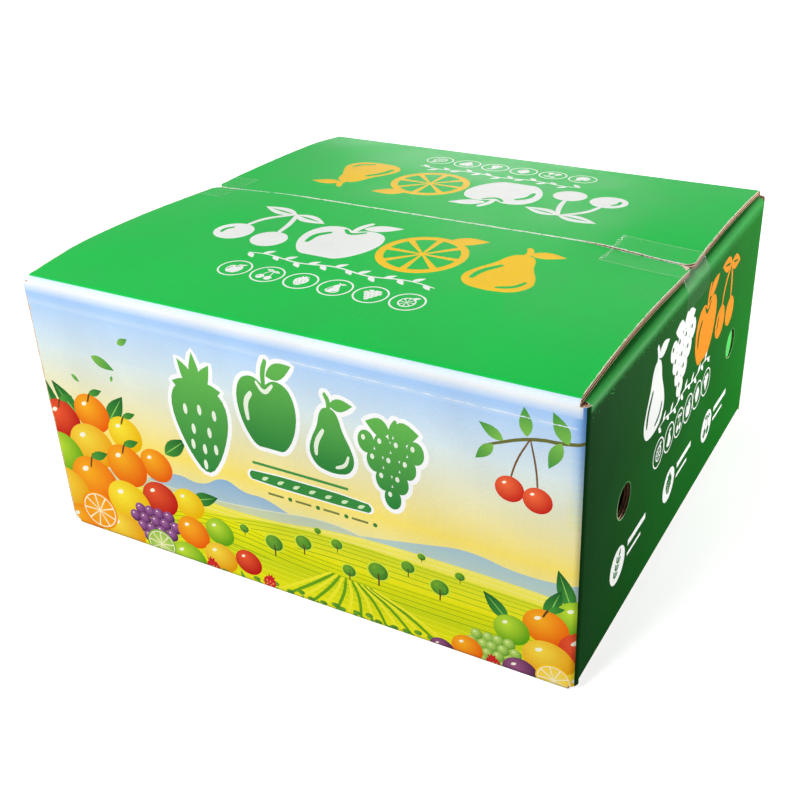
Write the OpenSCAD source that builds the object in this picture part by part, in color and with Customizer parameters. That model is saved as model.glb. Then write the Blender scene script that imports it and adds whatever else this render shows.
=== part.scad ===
// Closed fruit carton with a slotted divider set.
// The carton is one printed blank of double-wall board: four walls, a glue tab and eight flaps.
// Its long edges run along X, the picture panel faces -Y and the vented end walls face +X and -X.
// The origin is in the middle of the underside, where the bottom tape meets the floor.

/* [Carton] */
// Outer length, along the picture panel
box_l = 400; // [385:5:600]
// Outer depth, from the picture panel to the back panel
box_w = 380; // [250:5:385]
// Outer height, from the floor to the folds of the top flaps
box_h = 200; // [140:5:350]
// Thickness of the double-wall board
board_t = 4; // [3:0.1:6]
// Radius inside each fold of the board
crease_r = 1; // [0.5:0.1:3]

/* [Flaps] */
// Width cut away at each end of the front and back flaps
major_inset = 5; // [2:0.5:12]
// Width cut away beside each end flap, inside the front and back panels
minor_gap = 2; // [1:0.5:8]
// Space between an inner end flap and the outer flap that lies over it
layer_gap = 0.4; // [0.2:0.1:1]
// Gap between the two end flaps where they come closest
minor_meet = 4; // [2:1:30]
// Gap between the meeting edges of the outer flaps
seam_gap = 1.5; // [0.5:0.5:6]
// Distance of the top seam behind the middle of the carton
seam_shift = 8; // [-15:1:15]
// Rise of the top flaps from their folds to the seam
crown = 6; // [2:0.5:12]
// Radius of the free corners of every flap
flap_corner_r = 8; // [2:1:20]

/* [Glue joint] */
// Width of the glue tab behind the picture panel
tab_w = 36; // [20:1:60]
// Length of the slant at each end of the glue tab
tab_slant = 10; // [4:1:18]
// Step from the end wall's face to the raw edge of the picture panel
joint_step = 0.5; // [0:0.5:2]

/* [Vent holes] */
// Radius of each vent hole
vent_r = 11.7; // [6:0.1:20]
// Distance of each vent hole from the front or back of the carton
vent_inset = 69; // [30:1:95]
// Distance of the vent holes below half the carton's height
vent_below = 3; // [-20:1:20]
// Width of the cut round a knock-out disc that is still held
disc_cut = 0.5; // [0.3:0.1:1]
// Angle that the held disc is pushed in by
disc_push = 5; // [3:0.5:8]
// Width of each nick that holds the disc
nick_w = 2; // [1:0.5:3]

/* [Tape] */
// Width of the clear tape
tape_w = 48; // [36:1:60]
// Thickness of the clear tape with its glue
tape_t = 0.15; // [0.1:0.05:0.3]
// Reach of the right tape over the top flaps
tape_reach_right = 56; // [20:1:120]
// Reach of the left tape over the top flaps
tape_reach_left = 22; // [15:1:120]
// Length of each top tape that is stuck down the end wall
tape_drop = 13; // [8:1:60]
// Distance of the end of the bottom tape from each end wall
tape_stop = 8; // [6:1:40]

/* [Dividers] */
// Thickness of the single-wall divider board
divider_t = 3; // [1.5:0.1:5]
// Clearance on each side of a divider in the slot that it crosses
slot_fit = 0.3; // [0.2:0.1:0.6]
// Gap between the end of a divider and the wall
divider_end_gap = 1.5; // [0.5:0.5:4]
// Gap between the top of the dividers and the end flaps over them
headroom = 2; // [1:0.5:10]
// Depth of the extra cut where two slots meet
slot_relief = 0.2; // [0.1:0.1:1]

/* [Hidden] */
$fn = 96;

// The board lies on the bottom tape, and each fold has this outer radius
fold_r = crease_r + board_t;
floor_z = tape_t;

// Heights of the outer faces of the two end flap layers, a board inside the outer flaps
minor_top = box_h - board_t - layer_gap;
minor_base = floor_z + board_t + layer_gap;

// Clear space inside the carton, between the walls and between the end flaps
inner_l = box_l - 2 * board_t;
inner_w = box_w - 2 * board_t;
inner_base = minor_base + board_t;
inner_top = minor_top - board_t;

// The front and back flaps never reach into the round vertical folds at the carton's corners
major_l = box_l - 2 * max(major_inset, fold_r);
// A top flap's arc starts this far back inside its fold and this little below it, so that they cross
fold_lap = 0.3;
fold_step = 0.01;

// All flaps are cut to half the carton's depth, less what the end flaps need to miss each other
minor_depth = min(box_w / 2, (box_l - minor_meet) / 2);

// Place of the vent holes in each end wall
vent_y = box_w / 2 - vent_inset;
vent_z = box_h / 2 - vent_below;

// The outer top flaps are arcs that start level with the folds and lie flat at the seam
front_reach = box_w / 2 + seam_shift - fold_r;
back_reach = box_w / 2 - seam_shift - fold_r;
crown_facets = 720;

// The divider strips share the space equally, and each is slotted to half its height
long_l = inner_l - 2 * divider_end_gap;
cross_l = inner_w - 2 * divider_end_gap;
divider_h = inner_top - inner_base - headroom;
long_pitch = inner_w / 4;
cross_pitch = inner_l / 4;
slot_w = divider_t + 2 * slot_fit;
slot_h = divider_h / 2 + slot_relief;

// Radius of the arc that rises by the crown over a given reach
function crown_r(reach) = (reach * reach + crown * crown) / (2 * crown);

// A rectangle with round corners, drawn from exact arcs
module round_rect(l, w, r) {
    square([l - 2 * r, w], center = true);
    square([l, w - 2 * r], center = true);
    for (x = [-1, 1], y = [-1, 1])
        translate([x * (l / 2 - r), y * (w / 2 - r)])
            circle(r);
}

// A quarter ring of board round a fold, from +X to +Y
module fold_section() {
    difference() {
        intersection() {
            circle(fold_r);
            square(fold_r);
        }
        circle(crease_r);
    }
}

// A fold along X with its outer corner towards -Y and +Z, as the front panel's top fold has
module fold_x(l) {
    translate([-l / 2, 0, 0])
        rotate([90, 0, 90])
            linear_extrude(l)
                mirror([1, 0])
                    fold_section();
}

// A fold along Y with its outer corner towards +X and +Z, as the right wall's top fold has
module fold_y(w) {
    translate([0, w / 2, 0])
        rotate([90, 0, 0])
            linear_extrude(w)
                fold_section();
}

// Outline of a flap in plan, from its fold at y = 0 to its free edge with round corners
module flap_outline(w, depth) {
    translate([-w / 2, 0])
        square([w, depth - flap_corner_r]);
    translate([-w / 2 + flap_corner_r, 0])
        square([w - 2 * flap_corner_r, depth]);
    for (x = [-1, 1])
        translate([x * (w / 2 - flap_corner_r), depth - flap_corner_r])
            circle(flap_corner_r);
}

// The walls in plan: a ring with round folds, open where the blank's two ends are glued
module wall_section() {
    difference() {
        round_rect(box_l, box_w, fold_r);
        round_rect(inner_l, inner_w, crease_r);
        translate([-box_l / 2, -box_w / 2])
            square([fold_r, fold_r + board_t]);
    }
    // The picture panel runs out to its raw edge
    translate([-box_l / 2 + joint_step, -box_w / 2])
        square([fold_r - joint_step, board_t]);
    // The left wall folds round behind it and goes on as the glue tab
    translate([-box_l / 2 + fold_r, -box_w / 2 + board_t + fold_r])
        rotate(180)
            fold_section();
}

// The glue tab behind the picture panel, with its two slanted ends
module glue_tab() {
    low = minor_base + fold_r;
    high = minor_top - fold_r;
    translate([-box_l / 2 + fold_r, -box_w / 2 + 2 * board_t, 0])
        rotate([90, 0, 0])
            linear_extrude(board_t)
                polygon([
                    [0, low],
                    [tab_w - fold_r, low + tab_slant],
                    [tab_w - fold_r, high - tab_slant],
                    [0, high],
                ]);
}

// What the longer front and back panels have above and below the end walls
module panel_edges() {
    for (y = [-1, 1])
        translate([-major_l / 2, y > 0 ? box_w / 2 - board_t : -box_w / 2, floor_z + fold_r])
            cube([major_l, board_t, box_h - floor_z - 2 * fold_r]);
}

// The round corners and the raw edge go on up and down, beside the slots, to the outer flaps' folds
module corner_folds() {
    translate([0, 0, floor_z + fold_r])
        linear_extrude(box_h - floor_z - 2 * fold_r)
            intersection() {
                wall_section();
                union() {
                    for (corner = [[1, -1], [1, 1], [-1, 1]])
                        translate([corner.x * box_l / 2, corner.y * box_w / 2])
                            square(2 * fold_r, center = true);
                    translate([-box_l / 2, -box_w / 2])
                        square([fold_r, board_t]);
                }
            }
}

// One outer top flap on the front side, reaching back over the carton as a shallow arc
module top_major_flap(reach) {
    arc_r = crown_r(reach);
    translate([0, -box_w / 2 + fold_r, box_h - fold_r])
        fold_x(major_l);
    intersection() {
        translate([-major_l / 2, -box_w / 2 + fold_r + reach, box_h + crown - fold_step - arc_r])
            rotate([90, 0, 90])
                linear_extrude(major_l)
                    difference() {
                        circle(arc_r, $fn = crown_facets);
                        circle(arc_r - board_t, $fn = crown_facets);
                    }
        translate([0, -box_w / 2 + fold_r - fold_lap, box_h - 2 * board_t])
            linear_extrude(3 * board_t + crown)
                flap_outline(major_l, reach - seam_gap / 2 + fold_lap);
    }
}

// One outer bottom flap on the front side, flat under the carton
module bottom_major_flap() {
    translate([0, -box_w / 2 + fold_r, floor_z + fold_r])
        mirror([0, 0, 1])
            fold_x(major_l);
    translate([0, -box_w / 2 + fold_r, floor_z])
        linear_extrude(board_t)
            flap_outline(major_l, box_w / 2 - fold_r - seam_gap / 2);
}

// One end flap on the right side, whose outer face lies at height 0, folded down from above
module minor_flap() {
    wide = inner_w - 2 * minor_gap;
    translate([box_l / 2 - fold_r, 0, -fold_r])
        fold_y(wide);
    translate([box_l / 2 - fold_r, 0, -board_t])
        linear_extrude(board_t)
            rotate(90)
                flap_outline(wide, minor_depth - fold_r);
}

// The right end wall's knock-out disc, held by two nicks at its front edge and pushed in at its rear
module held_disc() {
    disc_r = vent_r - disc_cut;
    translate([box_l / 2, vent_y, vent_z]) {
        translate([-board_t / 2, -disc_r, 0])
            rotate([0, 0, disc_push])
                translate([-board_t / 2, disc_r, 0])
                    rotate([0, 90, 0])
                        cylinder(h = board_t, r = disc_r);
        for (side = [-1, 1])
            translate([-board_t, -vent_r * cos(20) - 1, side * vent_r * sin(20) - nick_w / 2])
                cube([board_t * 0.8, 3, nick_w]);
    }
}

// Both vent holes of the right end wall, cut through the board
module vent_cuts() {
    for (y = [-1, 1])
        translate([box_l / 2 - 2 * board_t, y * vent_y, vent_z])
            rotate([0, 90, 0])
                cylinder(h = 3 * board_t, r = vent_r);
}

module carton() {
    color([0.2, 0.65, 0.3])
        union() {
            difference() {
                translate([0, 0, minor_base + fold_r])
                    linear_extrude(minor_top - minor_base - 2 * fold_r)
                        wall_section();
                vent_cuts();
                mirror([1, 0, 0])
                    vent_cuts();
            }
            glue_tab();
            panel_edges();
            corner_folds();
            top_major_flap(front_reach);
            mirror([0, 1, 0])
                top_major_flap(back_reach);
            bottom_major_flap();
            mirror([0, 1, 0])
                bottom_major_flap();
            for (side = [0, 1])
                mirror([side, 0, 0]) {
                    translate([0, 0, minor_top])
                        minor_flap();
                    translate([0, 0, minor_base])
                        mirror([0, 0, 1])
                            minor_flap();
                    held_disc();
                }
        }
}

// A tape over the right end of the top seam, seen from the front. It lies flat on the flaps, spans
// from their edge to the fold of the end flap, and follows that fold down on to the end wall.
module end_tape(reach) {
    flap_end = major_l / 2;
    top = box_h + crown;
    turn_x = box_l / 2 - fold_r;
    turn_z = minor_top - fold_r;
    rise = top - turn_z;
    run = flap_end - turn_x;
    // The angle above level at which the span from the flap's edge meets the round fold
    touch = atan2(rise, run) - acos(fold_r / norm([run, rise]));
    outer_r = fold_r + tape_t;
    // The span also reaches a little way into the tape round the fold, so the two join as one solid
    mid_r = fold_r + tape_t / 2;
    far = 2 * rise;
    translate([0, seam_shift + tape_w / 2, 0])
        rotate([90, 0, 0])
            linear_extrude(tape_w) {
                translate([flap_end - reach, top])
                    square([reach, tape_t]);
                polygon([
                    [flap_end, top],
                    [turn_x + fold_r * cos(touch), turn_z + fold_r * sin(touch)],
                    [turn_x + mid_r * cos(touch - 1), turn_z + mid_r * sin(touch - 1)],
                    [turn_x + outer_r * cos(touch), turn_z + outer_r * sin(touch)],
                    [flap_end, top + tape_t],
                ]);
                translate([turn_x, turn_z])
                    intersection() {
                        difference() {
                            circle(outer_r);
                            circle(fold_r);
                        }
                        polygon([[0, 0], [far, 0], [far * cos(touch), far * sin(touch)]]);
                    }
                translate([box_l / 2, turn_z - tape_drop])
                    square([tape_t, tape_drop]);
            }
}

module top_tape_right() {
    color([0.85, 0.92, 0.85, 0.5])
        end_tape(tape_reach_right);
}

module top_tape_left() {
    color([0.85, 0.92, 0.85, 0.5])
        mirror([1, 0, 0])
            end_tape(tape_reach_left);
}

// The tape that closes the bottom seam and lies between the board and the floor
module bottom_tape() {
    color([0.85, 0.92, 0.85, 0.5])
        translate([-box_l / 2 + tape_stop, -tape_w / 2, 0])
            cube([box_l - 2 * tape_stop, tape_w, tape_t]);
}

// A strip across the carton's length, slotted from above for the cross strips
module long_divider(row) {
    color([0.72, 0.56, 0.38])
        translate([0, row * long_pitch, inner_base])
            difference() {
                translate([-long_l / 2, -divider_t / 2, 0])
                    cube([long_l, divider_t, divider_h]);
                for (column = [-1, 0, 1])
                    translate([column * cross_pitch - slot_w / 2, -divider_t, divider_h - slot_h])
                        cube([slot_w, 2 * divider_t, slot_h + 1]);
            }
}

// A strip across the carton's depth, slotted from below to sit over the long strips
module cross_divider(column) {
    color([0.72, 0.56, 0.38])
        translate([column * cross_pitch, 0, inner_base])
            difference() {
                translate([-divider_t / 2, -cross_l / 2, 0])
                    cube([divider_t, cross_l, divider_h]);
                for (row = [-1, 0, 1])
                    translate([-divider_t, row * long_pitch - slot_w / 2, -1])
                        cube([2 * divider_t, slot_w, slot_h + 1]);
            }
}

carton();
top_tape_right();
top_tape_left();
bottom_tape();
long_divider(-1);  // long_divider_front
long_divider(0);  // long_divider_middle
long_divider(1);  // long_divider_rear
cross_divider(-1);  // cross_divider_left
cross_divider(0);  // cross_divider_middle
cross_divider(1);  // cross_divider_right
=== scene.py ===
from math import acos, cos, degrees, hypot, pi, radians, sin, tau
from random import Random

import bmesh
import bpy
from mathutils import Matrix, Vector, noise
from mathutils.geometry import delaunay_2d_cdt


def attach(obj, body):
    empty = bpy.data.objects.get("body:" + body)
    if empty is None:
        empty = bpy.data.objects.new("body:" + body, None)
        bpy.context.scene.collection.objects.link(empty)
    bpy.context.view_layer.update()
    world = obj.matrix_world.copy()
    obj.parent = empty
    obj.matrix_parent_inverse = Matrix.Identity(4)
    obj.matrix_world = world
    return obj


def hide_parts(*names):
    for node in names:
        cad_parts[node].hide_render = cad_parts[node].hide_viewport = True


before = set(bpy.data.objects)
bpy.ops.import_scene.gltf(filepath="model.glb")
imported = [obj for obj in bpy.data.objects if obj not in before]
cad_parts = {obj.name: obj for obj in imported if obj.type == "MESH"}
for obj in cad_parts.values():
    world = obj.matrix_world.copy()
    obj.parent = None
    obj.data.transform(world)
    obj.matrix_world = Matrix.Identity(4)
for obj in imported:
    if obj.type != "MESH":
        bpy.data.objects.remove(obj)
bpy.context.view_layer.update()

# Camera. It looks down on the top, the picture panel and the right end wall, from about 0.85 m away.
FRAME_PX, FOCAL_PX = 800, 1071.2
camera_at = Vector((0.3638, -0.6399, 0.4620))
heading, dip, lean = radians(27.85), radians(28.54), radians(-0.99)
ahead = Vector((-sin(heading) * cos(dip), cos(heading) * cos(dip), -sin(dip)))
level = ahead.cross(Vector((0, 0, 1))).normalized()
right = level * cos(lean) + level.cross(ahead) * sin(lean)
lens = bpy.data.cameras.new("camera")
lens.sensor_width = 36
lens.lens = FOCAL_PX * lens.sensor_width / FRAME_PX
lens.shift_x, lens.shift_y = -0.075, -0.005
lens.clip_end = 40
camera = bpy.data.objects.new("camera", lens)
camera.matrix_world = Matrix.Translation(camera_at) @ (
    Matrix((right, right.cross(ahead), -ahead)).transposed().to_4x4()
)
bpy.context.scene.collection.objects.link(camera)
bpy.context.scene.camera = camera
bpy.context.scene.view_settings.view_transform = "Standard"


# Floor, backdrop and lamps. A large soft lamp stands at the front left, a smaller one at the right and
# a low one behind, with weak light from the room. The floor shows white to the camera, keeps its
# shadow and sends little light back up.
def new_material(name):
    material = bpy.data.materials.new(name)
    material.use_nodes = True
    material.node_tree.nodes.clear()
    return material, material.node_tree


def add(tree, kind, values=None, **settings):
    node = tree.nodes.new(kind)
    for key, value in settings.items():
        setattr(node, key, value)
    for key, value in (values or {}).items():
        if isinstance(value, bpy.types.NodeSocket):
            tree.links.new(value, node.inputs[key])
        else:
            node.inputs[key].default_value = value
    return node


floor_material, tree = new_material("pale_floor")
path = add(tree, "ShaderNodeLightPath")
floor_tone = add(
    tree,
    "ShaderNodeMix",
    {0: path.outputs["Is Camera Ray"], 6: (0.16, 0.16, 0.16, 1), 7: (0.8, 0.8, 0.8, 1)},
    data_type="RGBA",
)
matt = add(tree, "ShaderNodeBsdfDiffuse", {"Color": floor_tone.outputs[2]})
spot_on_floor = add(tree, "ShaderNodeTexCoord")
distance = add(
    tree, "ShaderNodeVectorMath", {0: spot_on_floor.outputs["Object"]}, operation="LENGTH"
)
lift = add(
    tree,
    "ShaderNodeMapRange",
    {
        "Value": distance.outputs["Value"],
        "From Min": 0.35,
        "From Max": 1.1,
        "To Min": 0.6,
        "To Max": 1.0,
    },
)
seen_lift = add(
    tree, "ShaderNodeMath", {0: lift.outputs[0], 1: path.outputs["Is Camera Ray"]}, operation="MULTIPLY"
)
glow = add(tree, "ShaderNodeEmission", {"Color": (1, 1, 1, 1), "Strength": seen_lift.outputs[0]})
both = add(tree, "ShaderNodeAddShader", {0: matt.outputs[0], 1: glow.outputs[0]})
add(tree, "ShaderNodeOutputMaterial", {"Surface": both.outputs[0]})

bm = bmesh.new()
bmesh.ops.create_grid(bm, x_segments=1, y_segments=1, size=12)
UNDER_TAPE = 0.0002
bmesh.ops.translate(bm, vec=(0, 0, -UNDER_TAPE), verts=bm.verts[:])
floor_mesh = bpy.data.meshes.new("floor")
bm.to_mesh(floor_mesh)
bm.free()
floor_mesh.materials.append(floor_material)
floor = bpy.data.objects.new("floor", floor_mesh)
bpy.context.scene.collection.objects.link(floor)

world = bpy.data.worlds.new("room")
world.use_nodes = True
bpy.context.scene.world = world
tree = world.node_tree
tree.nodes.clear()
path = add(tree, "ShaderNodeLightPath")
seen = add(
    tree, "ShaderNodeMath", {0: path.outputs["Is Camera Ray"], 1: path.outputs["Is Glossy Ray"]}
)
shown = add(
    tree, "ShaderNodeMath", {0: seen.outputs[0], 1: path.outputs["Is Transmission Ray"]}, use_clamp=True
)
strength = add(tree, "ShaderNodeMapRange", {"Value": shown.outputs[0], "To Min": 0.07, "To Max": 1.0})
backdrop = add(tree, "ShaderNodeBackground", {"Strength": strength.outputs[0]})
backdrop.inputs["Color"].default_value = (1, 1, 1, 1)
add(tree, "ShaderNodeOutputWorld", {"Surface": backdrop.outputs[0]})


def add_lamp(name, at, aim, size, watts):
    data = bpy.data.lights.new(name, "AREA")
    data.shape, data.size, data.energy = "DISK", size, watts
    lamp = bpy.data.objects.new(name, data)
    lamp.location = at
    lamp.rotation_euler = (Vector(aim) - Vector(at)).to_track_quat("-Z", "Y").to_euler()
    bpy.context.scene.collection.objects.link(lamp)


add_lamp("front_lamp", (-0.75, -1.95, 1.65), (0, 0, 0.1), 1.3, 74)
add_lamp("side_lamp", (1.2, 0.7, 0.34), (0.2, 0.1, 0.1), 0.7, 21)
add_lamp("back_lamp", (-0.9, 2.0, 0.3), (0, 0, 0.1), 0.8, 9)


# Printed board. The carton is one blank of double-wall board: a white outer liner printed in inks
# under a thin varnish, a flute, a middle liner, a flute and a brown inner liner, 4 mm in all.
# Each panel is drawn and printed flat, given its thickness, and then folded to its place.
MM = 0.001
BOARD = 4.0
FOLD_R = 5.0
QUARTER_FOLD = FOLD_R * pi / 2
OUTER_LINER = 0.35
FLUTE_BANDS = ((0.35, 1.75), (2.15, 3.65))
FLUTE_RECESS = 0.7
# Flutes that show through the print, and the wave of fluting seen on a cut edge
SHOWING_PITCH, CUT_PITCH = 7.4, 6.6
MEDIUM_HALF = 0.22


def ink(tone):
    return tuple(((c / 255 + 0.055) / 1.055) ** 2.4 for c in tone) + (1.0,)


def paint(art, edge, near, far=None, centre=(0, 0), reach=(0, 0)):
    """One printed field. Its ink runs from near, at centre, to far, at reach away along each axis."""
    art.append((edge, ink(near), ink(far or near), centre, reach))


def round_fold(past, depth):
    """How far along and how far inwards a point lies that is past the start of a round fold."""
    bend = min(past / FOLD_R, pi / 2)
    along = (FOLD_R - depth) * sin(bend)
    return along, FOLD_R - (FOLD_R - depth) * cos(bend) + max(0.0, past - QUARTER_FOLD)


def fold_panel(face, turn, left, right, low, high, half, lift=None):
    """Folds a panel that lies face mm out from the middle, and is turned from the front."""
    # The level folds reach half to each side of the middle, and the upright ones run on past them
    spin = Matrix.Rotation(radians(turn), 3, "Z")

    def place(point):
        s, v, depth = point.x, point.y, -point.z
        x, z, inward = s, v, depth
        if s > right:
            along, inward = round_fold(s - right, depth)
            x = right + along
        elif s < left:
            along, inward = round_fold(left - s, depth)
            x = left - along
        if v > high and abs(s) < half:
            along, inward = round_fold(v - high, depth)
            z = high + along
            if lift:
                z += lift(s, inward - FOLD_R)
        elif v < low and abs(s) < half:
            along, inward = round_fold(low - v, depth)
            z = low - along
        else:
            # A long panel of board is never quite flat between its folds
            room = max(min(v - low, high - v, 40), 0) * max(min(s - left, right - s, 40), 0) / 1600
            inward += 0.5 * room * noise.noise(Vector((s / 75, v / 75, turn)))
        return spin @ Vector((x, inward - face, z)) * MM

    return place


printed_liner, tree = new_material("printed_liner")
ink_near = add(tree, "ShaderNodeAttribute", attribute_name="ink")
ink_far = add(tree, "ShaderNodeAttribute", attribute_name="ink_far")
spot = add(tree, "ShaderNodeAttribute", attribute_name="spot")
spot_reach = add(tree, "ShaderNodeVectorMath", {0: spot.outputs["Vector"]}, operation="LENGTH")
blend = add(
    tree,
    "ShaderNodeMix",
    {0: spot_reach.outputs["Value"], 6: ink_near.outputs["Color"], 7: ink_far.outputs["Color"]},
    data_type="RGBA",
)
place = add(tree, "ShaderNodeTexCoord")
mottle = add(
    tree, "ShaderNodeTexNoise", {"Vector": place.outputs["Object"], "Scale": 22.0, "Detail": 5.0}
)
grain = add(
    tree, "ShaderNodeTexNoise", {"Vector": place.outputs["Object"], "Scale": 900.0, "Detail": 2.0}
)
cloud = add(
    tree,
    "ShaderNodeMapRange",
    {"Value": mottle.outputs["Fac"], "From Min": 0.3, "From Max": 0.7, "To Min": 0.95, "To Max": 1.04},
)
tooth = add(
    tree,
    "ShaderNodeMapRange",
    {"Value": grain.outputs["Fac"], "From Min": 0.3, "From Max": 0.7, "To Min": 0.96, "To Max": 1.04},
)
uneven = add(tree, "ShaderNodeMath", {0: cloud.outputs[0], 1: tooth.outputs[0]}, operation="MULTIPLY")
shade = add(
    tree,
    "ShaderNodeVectorMath",
    {0: blend.outputs[2], "Scale": uneven.outputs[0]},
    operation="SCALE",
)
along_board = add(tree, "ShaderNodeAttribute", attribute_name="board")
across = add(tree, "ShaderNodeSeparateXYZ", {0: along_board.outputs["Vector"]})
ridge_turn = add(
    tree, "ShaderNodeMath", {0: across.outputs["X"], 1: tau / SHOWING_PITCH}, operation="MULTIPLY"
)
ridges = add(tree, "ShaderNodeMath", {0: ridge_turn.outputs[0]}, operation="SINE")
relief = add(
    tree,
    "ShaderNodeMath",
    {0: ridges.outputs[0], 1: 0.25, 2: grain.outputs["Fac"]},
    operation="MULTIPLY_ADD",
)
bump = add(
    tree, "ShaderNodeBump", {"Height": relief.outputs[0], "Strength": 0.12, "Distance": 0.0004}
)
gloss = add(
    tree,
    "ShaderNodeMapRange",
    {"Value": mottle.outputs["Fac"], "From Min": 0.3, "From Max": 0.7, "To Min": 0.44, "To Max": 0.54},
)
varnished = add(
    tree,
    "ShaderNodeBsdfPrincipled",
    {
        "Base Color": shade.outputs[0],
        "Roughness": gloss.outputs[0],
        "Normal": bump.outputs[0],
        "Specular IOR Level": 0.09,
    },
)
add(tree, "ShaderNodeOutputMaterial", {"Surface": varnished.outputs[0]})

# On a cut edge the attribute "board" holds the place across the flutes and the depth in the board
cut_board, tree = new_material("cut_board")
strata = add(tree, "ShaderNodeAttribute", attribute_name="board")
parts = add(tree, "ShaderNodeSeparateXYZ", {0: strata.outputs["Vector"]})
depth_share = add(tree, "ShaderNodeMath", {0: parts.outputs["Y"], 1: 1 / BOARD}, operation="MULTIPLY")
layers = add(tree, "ShaderNodeValToRGB", {"Fac": depth_share.outputs[0]})
layers.color_ramp.interpolation = "CONSTANT"
layer_tones = (
    (0.0, (250, 242, 224)),
    (OUTER_LINER / BOARD, (104, 70, 48)),
    (1.75 / BOARD, (228, 184, 156)),
    (2.15 / BOARD, (108, 74, 52)),
    (3.65 / BOARD, (206, 166, 128)),
)
for i, (start, tone) in enumerate(layer_tones):
    stop = layers.color_ramp.elements[i] if i < 2 else layers.color_ramp.elements.new(start)
    stop.position, stop.color = start, ink(tone)
wave_turn = add(
    tree, "ShaderNodeMath", {0: parts.outputs["X"], 1: tau / CUT_PITCH}, operation="MULTIPLY"
)
wave = add(tree, "ShaderNodeMath", {0: wave_turn.outputs[0]}, operation="SINE")
medium_marks = []
for top_of_band, end_of_band in FLUTE_BANDS:
    middle = (top_of_band + end_of_band) / 2
    swing = add(
        tree,
        "ShaderNodeMath",
        {0: wave.outputs[0], 1: (end_of_band - top_of_band) / 2, 2: middle},
        operation="MULTIPLY_ADD",
    )
    off_wave = add(
        tree, "ShaderNodeMath", {0: parts.outputs["Y"], 1: swing.outputs[0]}, operation="SUBTRACT"
    )
    miss = add(tree, "ShaderNodeMath", {0: off_wave.outputs[0]}, operation="ABSOLUTE")
    medium_marks.append(
        add(tree, "ShaderNodeMath", {0: miss.outputs[0], 1: MEDIUM_HALF}, operation="LESS_THAN")
    )
medium = add(
    tree,
    "ShaderNodeMath",
    {0: medium_marks[0].outputs[0], 1: medium_marks[1].outputs[0]},
    operation="MAXIMUM",
)
edge_tone = add(
    tree,
    "ShaderNodeMix",
    {0: medium.outputs[0], 6: layers.outputs["Color"], 7: ink((206, 160, 126))},
    data_type="RGBA",
)
place = add(tree, "ShaderNodeTexCoord")
fibres = add(
    tree, "ShaderNodeTexNoise", {"Vector": place.outputs["Object"], "Scale": 1400.0, "Detail": 3.0}
)
fibre_tone = add(
    tree,
    "ShaderNodeMapRange",
    {"Value": fibres.outputs["Fac"], "From Min": 0.3, "From Max": 0.7, "To Min": 0.8, "To Max": 1.15},
)
rough_tone = add(
    tree,
    "ShaderNodeVectorMath",
    {0: edge_tone.outputs[2], "Scale": fibre_tone.outputs[0]},
    operation="SCALE",
)
fuzz = add(
    tree, "ShaderNodeBump", {"Height": fibres.outputs["Fac"], "Strength": 0.5, "Distance": 0.0003}
)
bare = add(
    tree,
    "ShaderNodeBsdfPrincipled",
    {"Base Color": rough_tone.outputs[0], "Roughness": 0.9, "Normal": fuzz.outputs[0]},
)
add(tree, "ShaderNodeOutputMaterial", {"Surface": bare.outputs[0]})


def kraft(name, tone, streak):
    """Unprinted brown liner, with its fibres along the machine direction."""
    material, tree = new_material(name)
    place = add(tree, "ShaderNodeTexCoord")
    stretch = add(
        tree, "ShaderNodeMapping", {"Vector": place.outputs["Object"], "Scale": (1.0, 1.0, 0.25)}
    )
    fibres = add(
        tree, "ShaderNodeTexNoise", {"Vector": stretch.outputs[0], "Scale": 260.0, "Detail": 6.0}
    )
    cloud = add(
        tree, "ShaderNodeTexNoise", {"Vector": place.outputs["Object"], "Scale": 14.0, "Detail": 3.0}
    )
    tones = add(
        tree,
        "ShaderNodeMix",
        {0: fibres.outputs["Fac"], 6: ink(tone), 7: ink(streak)},
        data_type="RGBA",
    )
    patch = add(
        tree,
        "ShaderNodeMapRange",
        {"Value": cloud.outputs["Fac"], "From Min": 0.3, "From Max": 0.7, "To Min": 0.9, "To Max": 1.08},
    )
    paper = add(
        tree,
        "ShaderNodeVectorMath",
        {0: tones.outputs[2], "Scale": patch.outputs[0]},
        operation="SCALE",
    )
    bump = add(
        tree, "ShaderNodeBump", {"Height": fibres.outputs["Fac"], "Strength": 0.35, "Distance": 0.0003}
    )
    matt = add(
        tree,
        "ShaderNodeBsdfPrincipled",
        {"Base Color": paper.outputs[0], "Roughness": 0.85, "Normal": bump.outputs[0]},
    )
    add(tree, "ShaderNodeOutputMaterial", {"Surface": matt.outputs[0]})
    return material


inner_liner = kraft("inner_liner", (176, 134, 92), (146, 106, 70))


def board_piece(name, *sheets):
    """Makes one piece of the carton from sheets that are already drawn, printed and folded."""
    bm = bmesh.new()
    for sheet in sheets:
        part = bpy.data.meshes.new(name)
        sheet.to_mesh(part)
        sheet.free()
        bm.from_mesh(part)
        bpy.data.meshes.remove(part)
    mesh = bpy.data.meshes.new(name)
    bm.to_mesh(mesh)
    bm.free()
    for material in (printed_liner, cut_board, inner_liner):
        mesh.materials.append(material)
    piece = bpy.data.objects.new(name, mesh)
    bpy.context.scene.collection.objects.link(piece)
    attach(piece, "root")
    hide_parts("carton")


def counted(edge):
    """The edge's points, anticlockwise."""
    area = sum(a[0] * b[1] - b[0] * a[1] for a, b in zip(edge, edge[1:] + edge[:1]))
    return edge if area > 0 else edge[::-1]


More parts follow.
